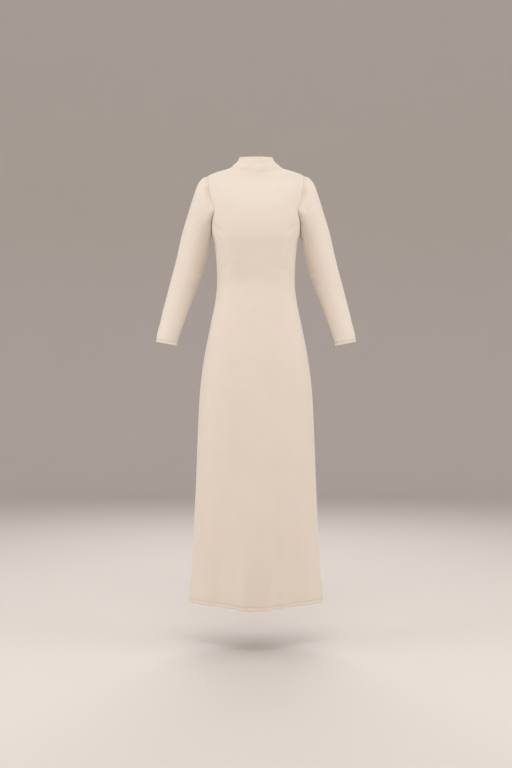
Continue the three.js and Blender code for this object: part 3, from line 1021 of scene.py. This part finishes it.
def jersey(sizes, colours):
    """Fine plain jersey: columns of loops with painted shade in the gaps between them, a soft nap
    and slight random tone in the dye.
    """
    made = bpy.data.materials.get("cream jersey")
    if made:
        return made
    finish = Finish("cream jersey")
    cloth = finish.node("UVMap", {"uv_map": UV_MAP})
    across = finish.node("SeparateXYZ", None, {0: cloth}, "X")
    along = finish.node("SeparateXYZ", None, {0: cloth}, "Y")
    place = finish.place()

    # Each column of loops is a row of small V shapes, raised along both legs.
    leg = abs((across / sizes.wale).maths("FRACT") - 0.5) * 2.0
    climb = along / (sizes.wale * COURSE_SHARE) + leg * LOOP_LEAN
    loops = (climb * (2 * math.pi)).maths("COSINE") * 0.5 + 0.5
    ridge = (leg * math.pi).maths("SINE")
    knit = ridge * (loops * LOOP_DEPTH + (1 - LOOP_DEPTH))

    nap = finish.noise(place, **NAP)
    slub = finish.noise(place, **SLUB)
    dye = finish.noise(place, **DYE)
    # The cream darkens in the gaps between the loops as painted shade, and with the nap, slub and
    # dye as random tone.
    shade = (1 - knit) * SHADE["gaps"] + nap * SHADE["nap"] + slub * SHADE["slub"]
    shade = shade + dye * SHADE["dye"] - SHADE["lift"]
    base = finish.mix(shade, colour(colours.cream), colour(colours.gap_shade_and_tone))
    rough = nap * ROUGH["nap"] + slub * ROUGH["slub"] + ROUGH["least"]
    height = knit * HEIGHT["knit"] + nap * HEIGHT["nap"] + slub * HEIGHT["slub"]
    bump = finish.node("Bump", None, {"Strength": 0.55, "Distance": 0.00022, "Height": height})
    surface = finish.node("BsdfPrincipled", None, {
        "Base Color": base,
        "Roughness": rough,
        "Sheen Weight": 0.45,
        "Sheen Roughness": 0.45,
        "Sheen Tint": (0.94, 0.97, 1.0, 1.0),
        "Specular IOR Level": 0.25,
        "Normal": bump,
    })
    finish.node("OutputMaterial", None, {"Surface": surface})
    return finish.material


def sewing_thread(sizes, colours):
    """Spun thread, a little glossier and deeper than the cloth."""
    made = bpy.data.materials.get("sewing thread")
    if made:
        return made
    finish = Finish("sewing thread")
    place = finish.place()
    twist = finish.node("TexWave", {"bands_direction": "DIAGONAL"}, {
        "Vector": place, "Scale": 900.0, "Distortion": 2.0, "Detail": 1.0,
    }, "Fac")
    fleck = finish.noise(place, 400.0)
    # The thread darkens in bands along its twist as painted shade, and in random flecks as its
    # own tone.
    deep = colour([DEEP_THREAD * part for part in colours.thread])
    base = finish.mix(fleck * 0.5 + twist * 0.3, colour(colours.thread), deep)
    bump = finish.node("Bump", None, {"Strength": 0.5, "Distance": 0.0001, "Height": twist})
    surface = finish.node("BsdfPrincipled", None, {
        "Base Color": base,
        "Roughness": fleck * 0.15 + 0.5,
        "Sheen Weight": 0.2,
        "Normal": bump,
    })
    finish.node("OutputMaterial", None, {"Surface": surface})
    return finish.material


def floor_paper():
    """Pale matt paper."""
    finish = Finish("pale paper")
    tone = finish.noise(finish.place(), 2.0) * 0.2
    base = finish.mix(tone, PAPER, DEEP_PAPER)
    surface = finish.node("BsdfPrincipled", None, {
        "Base Color": base,
        "Roughness": tone * 0.5 + 0.8,
    })
    finish.node("OutputMaterial", None, {"Surface": surface})
    return finish.material


# ---------------------------------------------------------------- operators


def finish_piece(piece, material, node=None):
    """Gives a piece its material and its body, and hides the solid that it stands for."""
    piece.data.materials.append(material)
    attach(piece, BODY)
    if node:
        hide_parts(node)


class DressOperator(bpy.types.Operator):
    """Shared by the operators that make the pieces of the dress."""

    bl_options = {"REGISTER", "UNDO"}

    @property
    def sizes(self):
        return bpy.context.scene.dress_sizes

    @property
    def colours(self):
        return bpy.context.scene.dress_colours

    def panel(self, side):
        """Makes the front or back with the stitching of its hem."""
        sizes = self.sizes
        face, lining, uv, up = panel_faces(side, sizes)
        panel = cloth_object(f"{side}_cloth", face, lining, uv, False)
        finish_piece(panel, jersey(sizes, self.colours), side)
        inside = (slice(None), slice(len(PANEL_EDGE_SHARES), -len(PANEL_EDGE_SHARES)))
        depth = sizes.hem_depth / MM
        name = f"hem_stitching_{side}"
        stitching = stitching_object(name, face[inside], up[inside], depth, False, sizes)
        finish_piece(stitching, sewing_thread(sizes, self.colours))
        return panel, stitching


class DRESS_OT_front(DressOperator):
    """Make the front of the dress, from side seam to side seam and hem to neck"""

    bl_idname = "dress.front"
    bl_label = "Front"

    def execute(self, context):
        front, stitching = self.panel("front")
        return {"FINISHED"}


class DRESS_OT_back(DressOperator):
    """Make the back of the dress, from side seam to side seam and hem to neck"""

    bl_idname = "dress.back"
    bl_label = "Back"

    def execute(self, context):
        back, stitching = self.panel("back")
        return {"FINISHED"}


class DRESS_OT_sleeves(DressOperator):
    """Make both sleeves with the stitching of their cuffs"""

    bl_idname = "dress.sleeves"
    bl_label = "Sleeves"

    def execute(self, context):
        sizes = self.sizes
        for hand in ("left", "right"):
            face, lining, uv, up = sleeve_faces(hand, sizes)
            sleeve = cloth_object(f"sleeve_{hand}_cloth", face, lining, uv, True)
            finish_piece(sleeve, jersey(sizes, self.colours), f"sleeve_{hand}")
            depth = sizes.cuff_depth / MM
            name = f"cuff_stitching_{hand}"
            stitching = stitching_object(name, face, up, depth, True, sizes)
            finish_piece(stitching, sewing_thread(sizes, self.colours))
        return {"FINISHED"}


class DRESS_OT_collar(DressOperator):
    """Make the neck band that stands up from the shoulders"""

    bl_idname = "dress.collar"
    bl_label = "Neck band"

    def execute(self, context):
        sizes = self.sizes
        face, lining, uv = collar_faces(sizes)
        collar = cloth_object("collar_cloth", face, lining, uv, True)
        finish_piece(collar, jersey(sizes, self.colours), "collar")
        return {"FINISHED"}


class DRESS_OT_stage(DressOperator):
    """Make the floor, the lights and the camera"""

    bl_idname = "dress.stage"
    bl_label = "Stage"

    def execute(self, context):
        self.add_floor()
        for softbox in SOFTBOXES:
            self.add_softbox(**softbox)
        self.add_camera()
        scene = bpy.context.scene
        scene.view_settings.view_transform = "Standard"
        world = bpy.data.worlds.new("studio")
        world.use_nodes = True
        background = world.node_tree.nodes["Background"]
        background.inputs["Color"].default_value = ROOM_COLOUR
        background.inputs["Strength"].default_value = ROOM_STRENGTH
        scene.world = world
        return {"FINISHED"}

    def add_floor(self):
        """A round floor of paper that curves up into a wall all round."""
        turn = np.linspace(0, 2 * math.pi, FLOOR_SIDES, endpoint=False)
        rise = np.linspace(0, RIGHT_ANGLE, COVE_ROWS)
        out = np.append(FLOOR_RADIUS + COVE_RADIUS * np.sin(rise), FLOOR_RADIUS + COVE_RADIUS)
        up = np.append(COVE_RADIUS * (1 - np.cos(rise)), WALL_HEIGHT) + FLOOR_Z
        grid = np.stack(np.broadcast_arrays(
            out[:, None] * np.cos(turn), out[:, None] * np.sin(turn), up[:, None]
        ), axis=-1)
        index = np.arange(len(up) * FLOOR_SIDES).reshape(len(up), FLOOR_SIDES)
        index = np.hstack([index, index[:, :1]])
        quads = np.stack([index[:-1, 1:], index[:-1, :-1], index[1:, :-1], index[1:, 1:]], axis=2)
        faces = [index[0, :-1].tolist(), *quads.reshape(-1, 4).tolist()]
        mesh = bpy.data.meshes.new("floor")
        mesh.from_pydata(grid.reshape(-1, 3).tolist(), [], faces)
        mesh.shade_smooth()
        floor = link(bpy.data.objects.new("floor", mesh))
        floor.data.materials.append(floor_paper())

    def add_softbox(self, name, place, aim, size, power):
        lamp = bpy.data.lights.new(name, "AREA")
        lamp.shape = "RECTANGLE"
        lamp.size, lamp.size_y = size
        lamp.energy = power
        softbox = link(bpy.data.objects.new(name, lamp))
        softbox.location = place
        direction = Vector(aim) - Vector(place)
        softbox.rotation_euler = direction.to_track_quat("-Z", "Y").to_euler()
        softbox.visible_camera = False

    def add_camera(self):
        lens = bpy.data.cameras.new("camera")
        lens.lens = CAMERA_LENS_MM
        lens.sensor_width = CAMERA_SENSOR_MM
        lens.sensor_fit = "AUTO"
        camera = link(bpy.data.objects.new("camera", lens))
        camera.location = CAMERA_PLACE
        camera.rotation_euler = (RIGHT_ANGLE, 0, 0)
        bpy.context.scene.camera = camera


class DRESS_PT_pieces(bpy.types.Panel):
    """Lists the pieces of the dress and their sizes and colours"""

    bl_idname = "DRESS_PT_pieces"
    bl_label = "Inner dress"
    bl_space_type = "VIEW_3D"
    bl_region_type = "UI"
    bl_category = "Dress"

    def draw(self, context):
        for group in (context.scene.dress_sizes, context.scene.dress_colours):
            for name in type(group).__annotations__:
                self.layout.prop(group, name)
        for operator in PIECE_OPERATORS:
            self.layout.operator(operator.bl_idname)


PIECE_OPERATORS = (
    DRESS_OT_stage,
    DRESS_OT_front,
    DRESS_OT_back,
    DRESS_OT_sleeves,
    DRESS_OT_collar,
)
CLASSES = (DressSizes, DressColours, *PIECE_OPERATORS, DRESS_PT_pieces)


def register():
    for item in CLASSES:
        bpy.utils.register_class(item)
    bpy.types.Scene.dress_sizes = PointerProperty(type=DressSizes)
    bpy.types.Scene.dress_colours = PointerProperty(type=DressColours)


def unregister():
    del bpy.types.Scene.dress_colours
    del bpy.types.Scene.dress_sizes
    for item in reversed(CLASSES):
        bpy.utils.unregister_class(item)


def main():
    register()
    bpy.ops.dress.stage()
    bpy.ops.dress.front()
    bpy.ops.dress.back()
    bpy.ops.dress.sleeves()
    bpy.ops.dress.collar()


if __name__ == "__main__":
    main()
